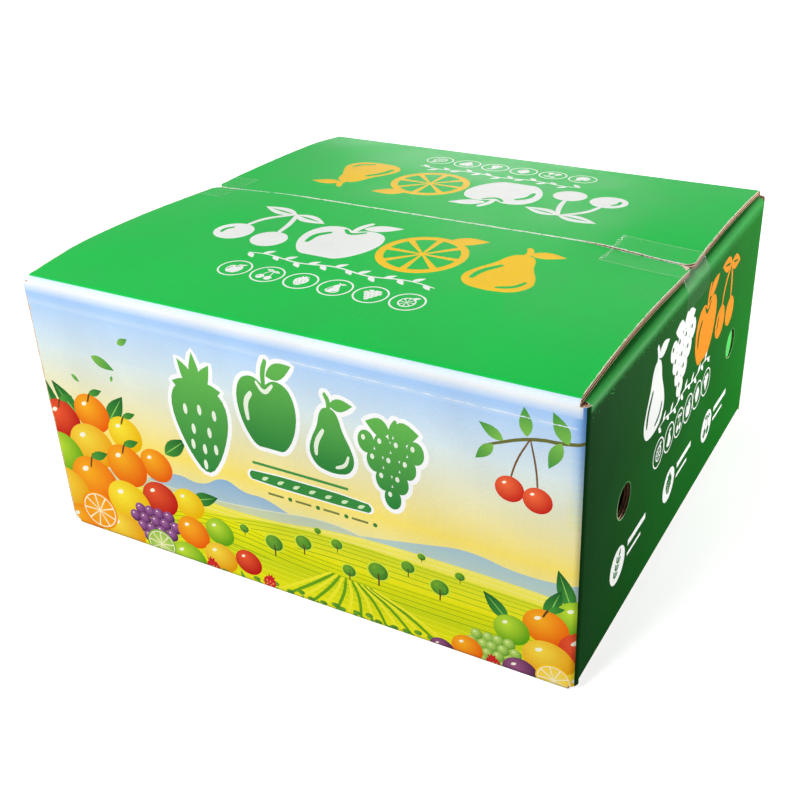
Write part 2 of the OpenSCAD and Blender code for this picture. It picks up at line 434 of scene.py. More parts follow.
def board_sheet(outline, art, creases, place, holes=(), joins=()):
    """Draws a panel flat, prints its fields, cuts it through the board's layers and folds it."""
    edges = [outline, *holes, *(field[0] for field in art)]
    flat, rings, lines = [], [], []
    for edge in edges:
        rings.append(list(range(len(flat), len(flat) + len(edge))))
        flat += [Vector(p) for p in counted(edge)]
    for start, end in creases:
        lines.append((len(flat), len(flat) + 1))
        flat += [Vector(start), Vector(end)]
    points, _, faces, _, _, owners = delaunay_2d_cdt(flat, lines, rings, 1, 1e-4)
    bm = bmesh.new()
    near = bm.loops.layers.float_color.new("ink")
    far = bm.loops.layers.float_color.new("ink_far")
    spots = bm.loops.layers.uv.new("spot")
    board = bm.loops.layers.uv.new("board")
    cut_away = set(range(1, 1 + len(holes)))
    corners = [bm.verts.new((p.x, p.y, 0)) for p in points]
    for face, under in zip(faces, owners):
        if 0 not in under or cut_away & set(under):
            continue
        _, tone, far_tone, centre, reach = art[max(under) - 1 - len(holes)]
        new = bm.faces.new([corners[i] for i in face])
        new.smooth = True
        for loop in new.loops:
            x, y, _ = loop.vert.co
            loop[near], loop[far] = tone, far_tone
            loop[spots].uv = [
                (c - m) / r if r else 0.0 for c, m, r in zip((x, y), centre, reach)
            ]
            loop[board].uv = (x, y)
    bmesh.ops.delete(bm, geom=[v for v in bm.verts if not v.link_faces], context="VERTS")
    front = bm.faces[:]
    grown = bmesh.ops.extrude_face_region(bm, geom=front, use_keep_orig=True)["geom"]
    back = [f for f in grown if isinstance(f, bmesh.types.BMFace)]
    bmesh.ops.translate(
        bm, vec=(0, 0, -BOARD), verts=[v for v in grown if isinstance(v, bmesh.types.BMVert)]
    )
    known = set(front) | set(back)
    for f in back:
        f.material_index = 2
    rim = [f for f in bm.faces if f not in known]
    for f in rim:
        f.material_index = 1
        f.smooth = False
    bmesh.ops.recalc_face_normals(bm, faces=bm.faces[:])

    def joined(f):
        middle = f.calc_center_median()
        return any(abs(middle[axis] - value) < 0.02 for axis, value in joins)

    cut = [f for f in rim if not joined(f)]
    for depth in sorted(d for band in FLUTE_BANDS for d in band):
        around = {e for f in cut for e in f.edges} | {v for f in cut for v in f.verts}
        sliced = bmesh.ops.bisect_plane(
            bm, geom=cut + list(around), plane_co=(0, 0, -depth), plane_no=(0, 0, 1), dist=1e-4
        )["geom"]
        cut = [f for f in sliced if isinstance(f, bmesh.types.BMFace) and f.is_valid]
        cut = [f for f in cut if f.material_index == 1]
    for f in cut:
        for loop in f.loops:
            loop[board].uv = (loop.vert.co.x, -loop.vert.co.z)
    hollow = [
        f for f in cut if any(a < -f.calc_center_median().z < b for a, b in FLUTE_BANDS)
    ]
    if hollow:
        bmesh.ops.inset_region(
            bm, faces=hollow, thickness=0, depth=-FLUTE_RECESS, use_boundary=True, use_even_offset=True
        )
    for e in bm.edges:
        e.smooth = len({f.material_index for f in e.link_faces}) == 1
    for v in bm.verts:
        v.co = place(v.co)
    return bm


def lattice(left, right, low, high, step_s, step_v):
    """Crease lines that let a panel bend: every step across and up it."""
    across = [left + step_s * i for i in range(1, int((right - left) / step_s) + 1)]
    upward = [low + step_v * i for i in range(1, int((high - low) / step_v) + 1)]
    return [((s, low), (s, high)) for s in across if s < right] + [
        ((left, v), (right, v)) for v in upward if v < high
    ]


def fold_lines(start, way, low, high, upright):
    """The lines along which a quarter fold bends, from its start."""
    stops = [start + way * QUARTER_FOLD * i / 8 for i in range(9)]
    return [((s, low), (s, high)) if upright else ((low, s), (high, s)) for s in stops]


# Drawing tools for the print: everything on the carton is flat fields of ink with simple outlines
def oval(x, y, rx, ry=None, turn=0, sides=32):
    ry = rx if ry is None else ry
    c, s = cos(radians(turn)), sin(radians(turn))
    ring = [(rx * cos(tau * i / sides), ry * sin(tau * i / sides)) for i in range(sides)]
    return [(x + px * c - py * s, y + px * s + py * c) for px, py in ring]


def box(left, low, right, high):
    return [(left, low), (right, low), (right, high), (left, high)]


def soften(points, rounds=3, closed=True):
    """Cuts the corners of a line or outline again and again, until it is a curve."""
    for _ in range(rounds):
        pairs = list(zip(points, points[1:] + points[:1])) if closed else list(zip(points, points[1:]))
        new = [
            (a[0] * (1 - t) + b[0] * t, a[1] * (1 - t) + b[1] * t)
            for a, b in pairs
            for t in (0.25, 0.75)
        ]
        points = new if closed else [points[0], *new, points[-1]]
    return points


def ribbon(points, width, ends=0.4, rounds=2):
    """A brush line along points, thinner towards its ends."""
    line = soften(points, rounds, closed=False)
    sides = ([], [])
    for i, (x, y) in enumerate(line):
        a, b = line[max(i - 1, 0)], line[min(i + 1, len(line) - 1)]
        size = hypot(b[0] - a[0], b[1] - a[1]) or 1
        swell = ends + (1 - ends) * max(sin(pi * i / (len(line) - 1)), 0.0) ** 0.7
        nx, ny = -(b[1] - a[1]) / size * width * swell / 2, (b[0] - a[0]) / size * width * swell / 2
        sides[0].append((x + nx, y + ny))
        sides[1].append((x - nx, y - ny))
    return sides[0] + sides[1][::-1]


def leaf(x, y, length, width, turn):
    """A pointed leaf that starts at x, y."""
    c, s = cos(radians(turn)), sin(radians(turn))
    upper = [(t, 0.5 * sin(pi * t**0.8)) for t in (0, 0.08, 0.2, 0.35, 0.5, 0.65, 0.8, 0.92, 1)]
    ring = upper + [(t, -w) for t, w in upper[-2:0:-1]]
    return [
        (x + t * length * c - w * width * s, y + t * length * s + w * width * c) for t, w in ring
    ]


def moved(edge, x, y, wide, high=None, turn=0):
    """An outline in unit size, brought to its size and place."""
    high = wide if high is None else high
    c, s = cos(radians(turn)), sin(radians(turn))
    return [
        (x + px * wide * c - py * high * s, y + px * wide * s + py * high * c) for px, py in edge
    ]


def grown(edge, by):
    """The outline moved outwards all round."""
    edge = counted(edge)
    out = []
    for a, p, b in zip(edge[-1:] + edge[:-1], edge, edge[1:] + edge[:1]):
        dx, dy = b[0] - a[0], b[1] - a[1]
        size = hypot(dx, dy) or 1
        out.append((p[0] + by * dy / size, p[1] - by * dx / size))
    return out


# Fruit and leaf emblems in a box one unit wide and high: first the solid parts, then what is cut out
APPLE_HALF = [
    (0, 0.22), (0.16, 0.31), (0.37, 0.25), (0.46, 0.03), (0.4, -0.24), (0.23, -0.46), (0.08, -0.46),
]
PEAR_HALF = [
    (0.08, 0.34), (0.16, 0.24), (0.2, 0.08), (0.33, -0.12), (0.38, -0.3), (0.27, -0.46), (0.08, -0.5),
]
BERRY = [
    (0, 0.26), (0.3, 0.3), (0.42, 0.08), (0.25, -0.28), (0, -0.5), (-0.25, -0.28), (-0.42, 0.08),
    (-0.3, 0.3),
]
SEEDS = (
    (-0.2, 0.08), (0, 0.1), (0.2, 0.08), (-0.12, -0.08), (0.1, -0.08), (0, -0.24), (-0.02, -0.38),
    (0.16, -0.22), (-0.16, -0.22),
)
GRAPE_SPOTS = [
    (0.24 * (i - (n - 1) / 2), 0.2 - 0.19 * row) for row, n in enumerate((4, 3, 2, 1)) for i in range(n)
]
SPRIG_LEAVES = [(t, 62 + way * 48) for t in (0.12, 0.38, 0.64) for way in (-1, 1)]


def both_sides(half):
    return soften(half + [(-x, y) for x, y in half[::-1]], 2)


def wedge(radius, start, end):
    steps = [start + (end - start) * i / 5 for i in range(6)]
    ring = [(radius * cos(a), radius * sin(a)) for a in steps]
    middle = (start + end) / 2
    return [(0.08 * radius * cos(middle), 0.08 * radius * sin(middle))] + ring


EMBLEMS = {
    "apple": (
        [
            both_sides(APPLE_HALF),
            ribbon([(0, 0.2), (0.0, 0.36), (0.07, 0.5)], 0.07),
            leaf(0.05, 0.33, 0.42, 0.17, 22),
        ],
        [
            ribbon([(-0.2, 0.12), (-0.32, 0.0), (-0.3, -0.2)], 0.07),
            ribbon([(-0.12, 0.25), (0, 0.13), (0.14, 0.25)], 0.05),
        ],
    ),
    "pear": (
        [
            both_sides(PEAR_HALF),
            ribbon([(0, 0.3), (0.02, 0.42), (-0.05, 0.52)], 0.07),
            leaf(0.02, 0.38, 0.38, 0.16, 8),
        ],
        [
            ribbon([(-0.1, 0.05), (-0.25, -0.15), (-0.26, -0.32)], 0.07),
            ribbon([(0.05, -0.42), (0.22, -0.36), (0.28, -0.22)], 0.05),
        ],
    ),
    "cherries": (
        [
            oval(-0.24, -0.26, 0.22),
            oval(0.25, -0.3, 0.2),
            ribbon([(-0.22, -0.08), (-0.16, 0.2), (0.1, 0.44)], 0.06),
            ribbon([(0.24, -0.14), (0.2, 0.16), (0.1, 0.44)], 0.06),
            leaf(0.1, 0.42, 0.46, 0.2, -14),
            leaf(0.1, 0.42, 0.5, 0.2, 168),
        ],
        [
            ribbon([(-0.3, -0.16), (-0.37, -0.24), (-0.35, -0.34)], 0.05),
            leaf(0.16, 0.41, 0.32, 0.035, -14),
            leaf(0.04, 0.43, 0.34, 0.035, 168),
        ],
    ),
    "citrus": (
        [oval(0, -0.02, 0.45), leaf(0.08, 0.38, 0.4, 0.2, 20)],
        [
            moved(wedge(0.37, tau * k / 8 + 0.09, tau * (k + 1) / 8 - 0.09), 0, -0.02, 1)
            for k in range(8)
        ],
    ),
    "sprig": (
        [
            ribbon([(-0.3, -0.5), (-0.08, -0.1), (0.2, 0.5)], 0.06),
            *[leaf(-0.3 + 0.46 * t, -0.5 + 0.95 * t, 0.36, 0.2, turn) for t, turn in SPRIG_LEAVES],
            leaf(0.12, 0.3, 0.34, 0.18, 66),
        ],
        [leaf(-0.27 + 0.46 * t, -0.46 + 0.95 * t, 0.27, 0.03, turn) for t, turn in SPRIG_LEAVES],
    ),
    "grapes": (
        [
            *[oval(x, y, 0.125) for x, y in GRAPE_SPOTS],
            ribbon([(0, 0.26), (0.02, 0.4), (0.1, 0.5)], 0.07),
            leaf(0.02, 0.36, 0.4, 0.24, 6),
            leaf(0, 0.36, 0.36, 0.2, 170),
        ],
        [oval(x - 0.04, y + 0.04, 0.03) for x, y in GRAPE_SPOTS],
    ),
    "berry": (
        [soften(BERRY, 2), *[leaf(0, 0.24, 0.34, 0.15, a) for a in (10, 50, 90, 130, 170)]],
        [oval(x, y, 0.028, 0.045) for x, y in SEEDS],
    ),
}


def stamp(art, emblem, x, y, wide, high, tone, ground, turn=0, rim=0.0, rim_tone=None, far=None):
    """Prints an emblem, with a rim of another ink round it where one is given."""
    solid, cut = EMBLEMS[emblem]
    solid = [moved(edge, x, y, wide, high, turn) for edge in solid]
    if rim:
        for edge in solid:
            paint(art, grown(edge, rim), rim_tone)
    for edge in solid:
        paint(art, edge, tone, far, (x, y - high / 2), (0, high))
    under = ground if isinstance(ground[0], tuple) else (ground,)
    for edge in cut:
        paint(art, moved(edge, x, y, wide, high, turn), *under)


# Picture panel and back panel. The blank's two long walls, folded from one sheet and printed with a
# generic orchard picture: sky, hills, fields, two heaps of fruit, a cherry twig and a row of emblems.
# The picture panel's left edge is raw, where the blank's two ends are glued.
GREEN = (24, 193, 76)
WHITE = (250, 252, 248)
SKY_TOP, SKY_MID, SKY_GLOW = (172, 209, 253), (222, 237, 238), (255, 232, 112)
SKY_JOIN = 150


def shaded_fruit(art, x, y, rx, ry, light, dark, turn=0):
    lit = (x - 0.3 * rx, y + 0.35 * ry)
    paint(art, oval(x, y, rx, ry, turn), light, dark, lit, (1.35 * rx, 1.35 * ry))
    paint(art, oval(x - 0.36 * rx, y + 0.42 * ry, 0.16 * rx, 0.1 * ry, 30, 12), (255, 252, 225))


def citrus_half(art, x, y, r, rind, flesh, turn=0):
    paint(art, oval(x, y, r, r * 0.94, turn), rind)
    paint(art, oval(x, y, r * 0.9, r * 0.84, turn), (255, 244, 205))
    for k in range(9):
        piece = wedge(0.84, tau * k / 9 + 0.05, tau * (k + 1) / 9 - 0.05)
        paint(art, moved(piece, x, y, r, r * 0.93, turn), flesh, rind, (x, y), (r * 1.1, r * 1.1))


def grape_bunch(art, x, y, r, light, dark, rng):
    for row, count in enumerate((4, 5, 4, 3, 2, 1)):
        for i in range(count):
            gx = x + 1.75 * r * (i - (count - 1) / 2) + rng.uniform(-0.2, 0.2) * r
            shaded_fruit(art, gx, y - 1.5 * r * row, r, r, light, dark)


def hill(art, tops, light, dark, drop, line, furrows, gap):
    """Rolling ground below a curved skyline, with furrows that follow it."""
    skyline = soften(tops, 3, closed=False)
    ground = skyline + [(tops[-1][0], -12), (tops[0][0], -12)]
    peak = max(y for _, y in tops)
    paint(art, ground, light, dark, (0, peak), (0, drop))
    for k in range(furrows):
        low = (k + 0.6) * gap * (1 + 0.12 * k)
        row = [(px, py - low) for px, py in tops]
        paint(art, ribbon(row, 0.5 + 0.07 * k, 0.6, 3), line)
    if line and not furrows:
        paint(art, ribbon(tops, 0.7, 0.6, 3), line)


def tree(art, x, y, r, rng):
    lit, reach = (x - r * 0.3, y + r * 0.3), (r * 1.4, r * 1.4)
    paint(art, oval(x, y, r * 1.12, r), (214, 232, 60))
    paint(art, oval(x, y, r * 0.95, r * 0.84), (120, 176, 52), (48, 118, 44), lit, reach)
    for _ in range(7):
        a, d = rng.uniform(0, tau), rng.uniform(0.1, 0.65) * r
        paint(art, oval(x + d * cos(a), y + d * sin(a) * 0.8, r * 0.17, r * 0.13, 0, 10), (96, 160, 50))
    trunk = [(x, y - 0.2 * r), (x + 0.04 * r, y - 0.8 * r), (x, y - 1.5 * r)]
    paint(art, ribbon(trunk, 0.16 * r, 0.8), (92, 66, 36))


def sky_tone(v):
    """The sky's ink at a height: yellow low down, pale in the middle, blue at the top."""
    if v < SKY_JOIN:
        low, high, share = SKY_GLOW, SKY_MID, max(v - 88, 0) / 62
    else:
        low, high, share = SKY_MID, SKY_TOP, (v - 148) / 40
    return tuple(a + (b - a) * min(share, 1) for a, b in zip(low, high))


def orchard_picture(seed):
    rng = Random(seed)
    art = []
    paint(art, box(-215, SKY_JOIN, 215, 212), SKY_MID, SKY_TOP, (0, 148), (0, 40))
    paint(art, box(-215, -12, 215, SKY_JOIN), SKY_GLOW, SKY_MID, (0, 88), (0, 62))
    # The ink is bluer along the right fold
    for k in range(16):
        v = 118 + 5 * k
        sky = sky_tone(v + 2.5)
        blue = tuple(a + (b - a) * 0.95 * (k + 1) / 16 for a, b in zip(sky, (78, 150, 232)))
        paint(art, box(190, v, 200, v + 5), blue, sky, (200, 0), (9, 0))
    # Where the board folds at the top, the white band and the pale band lower down are painted highlights of
    # the light caught on the fold
    paint(art, box(-215, 188, 197, 202), (248, 251, 253), sky_tone(188), (0, 194.4), (0, 7))
    paint(art, box(-215, 178, 190, 184), (196, 222, 252), sky_tone(181), (0, 181), (0, 3))

    # Hills and fields, from the farthest to the nearest: skyline, inks, depth of the blend and furrows
    for tops, light, dark, drop, line, furrows, gap in (
        (
            [(0, 62), (60, 70), (100, 78), (130, 84), (165, 76), (215, 82)],
            (168, 200, 214), (214, 226, 170), 40, None, 0, 4,
        ),
        (
            [(-120, 62), (-92, 76), (-70, 70), (-50, 84), (-34, 75), (-18, 77), (4, 68), (30, 60)],
            (136, 178, 216), (196, 214, 208), 34, None, 0, 4,
        ),
        (
            [(-215, 52), (-140, 64), (-80, 60), (-20, 66), (30, 74), (70, 66)],
            (190, 206, 190), (226, 226, 150), 30, (228, 232, 196), 0, 4,
        ),
        (
            [(-215, 54), (-150, 50), (-90, 60), (-20, 58), (40, 68), (120, 70), (215, 66)],
            (246, 236, 104), (244, 234, 30), 26, (250, 244, 150), 3, 3,
        ),
        (
            [(-215, 40), (-130, 52), (-70, 48), (-10, 60), (60, 62), (215, 58)],
            (214, 222, 46), (252, 242, 14), 30, (160, 190, 30), 7, 2.4,
        ),
        (
            [(-215, 34), (-160, 40), (-110, 40), (-60, 52), (20, 40), (215, 40)],
            (248, 240, 14), (196, 214, 26), 34, (136, 176, 24), 6, 2.8,
        ),
        (
            [(-215, 26), (-140, 30), (-90, 36), (-40, 26), (215, 20)],
            (176, 206, 26), (238, 234, 20), 30, (248, 242, 50), 5, 3.2,
        ),
    ):
        hill(art, tops, light, dark, drop, line, furrows, gap)
    for k in range(15):
        row = [(30 + 2.2 * k, 33 - 0.2 * k), (8 + 6.2 * k, 18), (-34 + 12 * k, -8)]
        paint(art, ribbon(row, 2.3, 0.35), (104, 164, 30) if k % 2 else (244, 238, 50))
    for x, y, r in (
        (10, 50, 6.4), (-14, 42, 7.2), (36, 57, 4.4), (66, 46, 7.6), (88, 57, 5), (110, 49, 6.6),
        (124, 62, 3.4), (44, 39, 5.2), (-38, 46, 3.8), (98, 68, 2.8), (22, 63, 2.6),
    ):
        tree(art, x, y, r, rng)
    for x in range(-34, 126, 9):
        spot = (x + rng.uniform(-2, 2), 6 + rng.uniform(-1.5, 1.5))
        paint(art, oval(*spot, 3.0, 1.9, 0, 14), (120, 176, 50), (74, 140, 42), (x, 7), (4, 4))

    # Two heaps of fruit, a tall one at the left end and a low one at the right end
    leaf_top, leaf_foot = (70, 150, 60), (28, 96, 44)
    for x, y, length, width, turn in (
        (-196, 84, 40, 16, 96), (-172, 96, 34, 14, 128), (-146, 100, 30, 13, 54), (-98, 88, 26, 12, 38),
        (-80, 56, 24, 11, 20), (196, 62, 28, 11, 110), (156, 40, 24, 10, 134), (180, 50, 26, 11, 70),
    ):
        blade = leaf(x, y, length, width, turn)
        paint(art, blade, leaf_top, leaf_foot, (x, y), (length, length))
        paint(art, leaf(x, y, length * 0.9, width * 0.08, turn), (140, 200, 90))
    melon, peach = ((255, 226, 70), (238, 158, 10)), ((255, 180, 36), (240, 98, 10))
    lemon, red = ((255, 236, 60), (242, 184, 0)), ((240, 92, 50), (190, 22, 22))
    lime, plum = ((198, 230, 60), (92, 164, 20)), ((160, 92, 138), (66, 26, 60))
    for x, y, rx, ry, turn, tones in (
        (-190, 92, 17, 16, 0, red),
        (-160, 104, 16, 15, 0, peach),
        (-132, 94, 15, 14, 0, lemon),
        (-166, 76, 21, 18, 10, melon),
        (-196, 62, 19, 18, 0, lime),
        (-108, 76, 14, 13, 0, peach),
        (-136, 68, 18, 17, 0, peach),
        (-170, 46, 22, 20, 0, peach),
        (-200, 30, 22, 20, 0, melon),
        (-84, 52, 13, 12, 0, lemon),
        (-110, 48, 16, 14, 20, red),
        (-140, 36, 20, 18, -10, lemon),
        (200, 56, 14, 13, 0, lime),
        (180, 44, 15, 13, 0, peach),
        (204, 32, 16, 15, 0, red),
        (158, 34, 12, 11, 0, lime),
        (182, 20, 17, 14, 0, melon),
    ):
        shaded_fruit(art, x, y, rx, ry, *tones, turn)
    for x, y, r in (
        (-160, 104, 15), (-190, 92, 16), (-132, 94, 14), (-136, 68, 17), (-170, 46, 20), (180, 44, 13),
    ):
        stalk = [(x - 2, y + 0.55 * r), (x, y + 0.9 * r), (x + 3, y + 1.2 * r)]
        blade = leaf(x + 1, y + 1.0 * r, 0.9 * r, 0.36 * r, 24)
        paint(art, ribbon(stalk, 1.4, 0.7), (96, 70, 36))
        paint(art, blade, (84, 164, 60), (36, 112, 46), (x, y + r), (r, r))
    grape_bunch(art, -118, 34, 5.0, (176, 110, 170), (76, 30, 84), rng)
    grape_bunch(art, 146, 22, 4.2, (206, 236, 120), (96, 156, 40), rng)
    for x, y, rx, ry, turn, tones in (
        (-84, 28, 14, 13, 0, peach),
        (-60, 36, 12, 11, 0, lime),
        (-62, 14, 14, 12, 0, melon),
        (-38, 18, 11, 10, 0, red),
        (-150, 8, 19, 16, 10, melon),
        (-92, 4, 16, 13, 0, lime),
        (-190, 4, 18, 16, 0, peach),
        (204, 4, 14, 13, 0, lemon),
        (128, 8, 11, 10, 0, peach),
        (164, 4, 12, 10, 0, plum),
        (110, 1, 9, 8, 0, plum),
    ):
        shaded_fruit(art, x, y, rx, ry, *tones, turn)
    citrus_half(art, -172, 20, 17, (250, 150, 20), (255, 178, 44), 20)
    citrus_half(art, -116, 8, 13, (130, 184, 50), (206, 232, 120), 10)
    citrus_half(art, 186, 6, 12, (255, 206, 40), (255, 232, 110), -15)
    for x, y, wide, high, turn in ((-70, 2, 15, 18, 12), (-22, 6, 13, 15, -20), (146, 2, 13, 15, 10)):
        stamp(art, "berry", x, y, wide, high, (236, 64, 52), (255, 220, 120), turn, far=(204, 34, 40))
    for k in range(26):
        x = -80 + 7.4 * k + rng.uniform(-2, 2)
        blade = leaf(x, rng.uniform(-3, 1), rng.uniform(5, 9), 3.2, rng.uniform(30, 150))
        paint(art, blade, (96, 168, 52))
    return art


def title_row(art):
    """The green emblems in the middle, the ribbon under them, and the twig by the right fold."""
    rim, tone, far, ground = (255, 255, 255), (46, 132, 62), (104, 186, 84), (236, 246, 224)
    row = (
        ("berry", -62, 122, 58, 86), ("apple", -8, 146, 50, 66), ("pear", 38, 138, 44, 54),
        ("grapes", 80, 128, 46, 62),
    )
    # All the white rims come first, so that none of them covers the next emblem
    for place in row:
        stamp(art, *place, tone, ground, rim=3.0, rim_tone=rim, far=far)
    for place in row:
        stamp(art, *place, tone, ground, far=far)
    paint(art, box(-24, 101, 48, 103), (70, 150, 74))
    paint(art, soften([(-30, 92), (-26, 97.5), (62, 97.5), (67, 92), (62, 87), (-26, 87)], 1), (255, 255, 255))
    paint(art, soften([(-28, 92), (-25, 96.5), (61, 96.5), (65, 92), (61, 88), (-25, 88)], 1), (58, 142, 66))
    for k in range(7):
        paint(art, leaf(-18 + 12 * k, 90.4, 6.5, 2.6, 28), (214, 238, 190))
    for k in range(4):
        paint(art, box(-14 + 21 * k, 80.4, -2 + 21 * k, 82.0), (120, 132, 72))
        paint(art, oval(3 + 21 * k, 81.2, 1.6, sides=12), (58, 130, 60))
    paint(art, ribbon([(214, 178), (192, 171), (168, 170), (140, 158)], 2.2, 0.5), (110, 112, 56))
    for x, y, length, width, turn in (
        (190, 171, 20, 9, 118), (186, 171, 19, 8, -112), (166, 170, 18, 8, 96), (152, 164, 17, 7, 150),
        (146, 160, 16, 7, 226), (206, 175, 16, 7, -80),
        (-150, 150, 20, 8, -20), (-124, 164, 11, 5, 30), (-172, 132, 8, 3.6, -40), (-136, 134, 5, 2.4, 70),
    ):
        blade = leaf(x, y, length, width, turn)
        paint(art, blade, (132, 196, 84), (70, 152, 66), (x, y), (length, length))
    for x, y, bend in ((156, 134, 160), (173, 131, 172)):
        paint(art, ribbon([(x, y + 5), (bend, y + 20), (168, 169)], 1.2, 0.6), (122, 88, 50))
        shaded_fruit(art, x, y, 9, 8.4, (250, 112, 66), (206, 42, 30))


def crease_marks(art, rng, left, right, level, white, gap=2.5, tone=(240, 246, 250)):
    """Where varnish and ink have cracked along a crease, the white liner shows in a ragged line."""
    s, drift = left, 0.0
    while s < right:
        run = min(rng.uniform(8, 45), right - s)
        steps = max(3, int(run / 1.3))
        upper, lower = [], []
        for i in range(steps + 1):
            drift = 0.8 * drift + rng.uniform(-0.1, 0.1) * white
            wide = white * rng.uniform(0.15, 0.6) * min(1.0, 0.15 + min(i, steps - i) / 2)
            upper.append((s + run * i / steps, level + drift + wide))
            lower.append((s + run * i / steps, level + drift - wide * rng.uniform(0.3, 1)))
        paint(art, upper + lower[::-1], tone)
        s += run + rng.uniform(0.2, 1) * gap


def upright_marks(art, rng, low, high, s, way, white, gap, tone):
    """The same ragged line, up a panel at s."""
    marks = []
    crease_marks(marks, rng, low, high, 0, white, gap, tone)
    art += [([(s + way * y, x) for x, y in edge], *tones) for edge, *tones in marks]


# A long panel's upright folds start END_S from its middle, and its level folds at FOOT and HEAD
END_S, FOOT, HEAD = 195, 5.15, 195
LONG_FACE = 190
MID_FOLD = FOLD_R * pi / 4
TOP_SPLIT = HEAD + FOLD_R * radians(53)
LOW_SPLIT = FOOT - MID_FOLD
RAW_EDGE = -199.5
FLAP_FOLDS = ((1, TOP_SPLIT), (1, LOW_SPLIT), (0, END_S + MID_FOLD))

panel_right = [
    (-END_S, LOW_SPLIT), (END_S, LOW_SPLIT), (END_S, FOOT), (END_S + MID_FOLD, FOOT),
    (END_S + MID_FOLD, HEAD), (END_S, HEAD), (END_S, TOP_SPLIT), (-END_S, TOP_SPLIT), (-END_S, HEAD),
]
creases = (
    lattice(-END_S, END_S, FOOT, HEAD, 20, 20)
    + fold_lines(END_S, 1, FOOT, HEAD, True)[:5]
    + fold_lines(HEAD, 1, -END_S, END_S, False)[:6]
    + fold_lines(FOOT, -1, -END_S, END_S, False)[:5]
)

art = orchard_picture(4)
title_row(art)
rng = Random(11)
crease_marks(art, rng, -END_S, END_S, 193.6, 1.1)
upright_marks(art, rng, 6, 186, RAW_EDGE + 0.6, -1, 1.9, 0.4, (224, 190, 158))
# A chip of liner is missing at the foot of the raw edge
chip = [(RAW_EDGE, 5), (-195.4, 5), (-196.4, 7.4), (-198, 8.2), (RAW_EDGE, 10.5)]
paint(art, chip, (250, 246, 238))
crease_marks(art, rng, 10, END_S, 181.6, 1.0, 5, (228, 239, 253))
outline = [(RAW_EDGE, FOOT), (-END_S, FOOT), *panel_right, (RAW_EDGE, HEAD)]
bend = fold_panel(LONG_FACE, 0, -1000, END_S, FOOT, HEAD, END_S + 0.01)
board_piece("picture_panel", board_sheet(outline, art, creases, bend, joins=FLAP_FOLDS))

art = orchard_picture(4)
title_row(art)
left_edge = -END_S - MID_FOLD
outline = [(left_edge, FOOT), (-END_S, FOOT), *panel_right, (left_edge, HEAD)]
creases += fold_lines(-END_S, -1, FOOT, HEAD, True)[:5]
bend = fold_panel(LONG_FACE, 180, -END_S, END_S, FOOT, HEAD, END_S + 0.01)
back_joins = (*FLAP_FOLDS, (0, left_edge))
board_piece("back_panel", board_sheet(outline, art, creases, bend, joins=back_joins))


# Outer flaps. The two top flaps are the ends of the picture and back panels, folded over the end
# flaps; they bow up to the seam, and the tape pulls their corners down. The two bottom flaps are flat.
FRONT_REACH, REAR_REACH = 193.0, 177.0
SEAM_HALF = 0.3
CROWN = 6.0
FLAP_START = HEAD + QUARTER_FOLD


def along_table(table, t):
    """A smooth value between evenly spaced heights."""
    t = min(max(t, 0.0), 1.0) * (len(table) - 1)
    i = min(int(t), len(table) - 2)
    f = t - i
    a, b = table[i], table[i + 1]
    before = table[i - 1] if i else a - (b - a)
    after = table[i + 2] if i + 2 < len(table) else b + (b - a)
    return 0.5 * (
        2 * a + (b - before) * f + (2 * before - 5 * a + 4 * b - after) * f * f
        + (3 * a - before - 3 * b + after) * f**3
    )


def ease(t):
    t = min(max(t, 0.0), 1.0)
    return t * t * (3 - 2 * t)


def flap_lift(reach, left_end, right_end):
    """Height of a top flap over its fold: a low arch, with other profiles at its two ends."""

    def lift(s, q):
        if q <= 0:
            return 0.0
        t = q / reach
        arch = CROWN * (1 - (1 - min(t, 1)) ** 2)
        to_left, to_right = 1 - ease((s + END_S) / 75), 1 - ease((END_S - s) / 90)
        height = arch + to_left * (along_table(left_end, t) - arch)
        return height + to_right * (along_table(right_end, t) - height)

    return lift


front_lift = flap_lift(FRONT_REACH, (0, 5.0, 6.4, 6.2, 4.9, 3.2), (0, 2.9, 4.2, 3.9, 2.1, 0.4))
# The rear flap is turned round, so its own left end is the carton's right end
rear_lift = flap_lift(REAR_REACH, (0, 2.2, 3.3, 3.7, 2.9, 0.8), (0, 3.2, 4.2, 4.4, 4.2, 3.2))


def top_print(shift_s, shift_q):
    """Emblems, a vine and six rings, printed to be read from the panel that the flap belongs to."""
    art = []
    paint(art, box(-210, 190, 210, 420), GREEN)
    q0 = FLAP_START + shift_q
    for emblem, s, wide, high, tone in (
        ("cherries", -94, 66, 66, WHITE),
        ("apple", -30, 68, 70, WHITE),
        ("citrus", 34, 70, 70, (255, 206, 30)),
        ("pear", 98, 66, 72, (255, 206, 30)),
    ):
        stamp(art, emblem, s + shift_s, q0 + 128, wide, high, tone, GREEN)
    vine = [(-76 + 9.6 * i + shift_s, q0 + 83 + 2.2 * sin(1.1 * i)) for i in range(16)]
    paint(art, ribbon(vine, 1.6, 0.5), WHITE)
    for i, (s, q) in enumerate(vine[:-1]):
        paint(art, leaf(s + 1, q, 9.5, 4.2, 48 if i % 2 else -42), WHITE)
    icons = ("apple", "cherries", "berry", "pear", "grapes", "citrus")
    for i, emblem in enumerate(icons):
        s = -68 + 26 * i + shift_s
        paint(art, oval(s, q0 + 58, 11.8), WHITE)
        paint(art, oval(s, q0 + 58, 10.6), GREEN)
        stamp(art, emblem, s, q0 + 57.6, 13, 14, WHITE, GREEN)
    return art


def flap_outline(start, end, half, radius=8):
    """A flap from its start to its free edge, whose two corners are round."""
    corner = [(radius * sin(tau * i / 32), radius * cos(tau * i / 32)) for i in range(9)]
    right_end = [(half - radius + a, end - radius + b) for a, b in corner]
    return [(-half, start), *[(-p, q) for p, q in right_end[::-1]], *right_end, (half, start)]


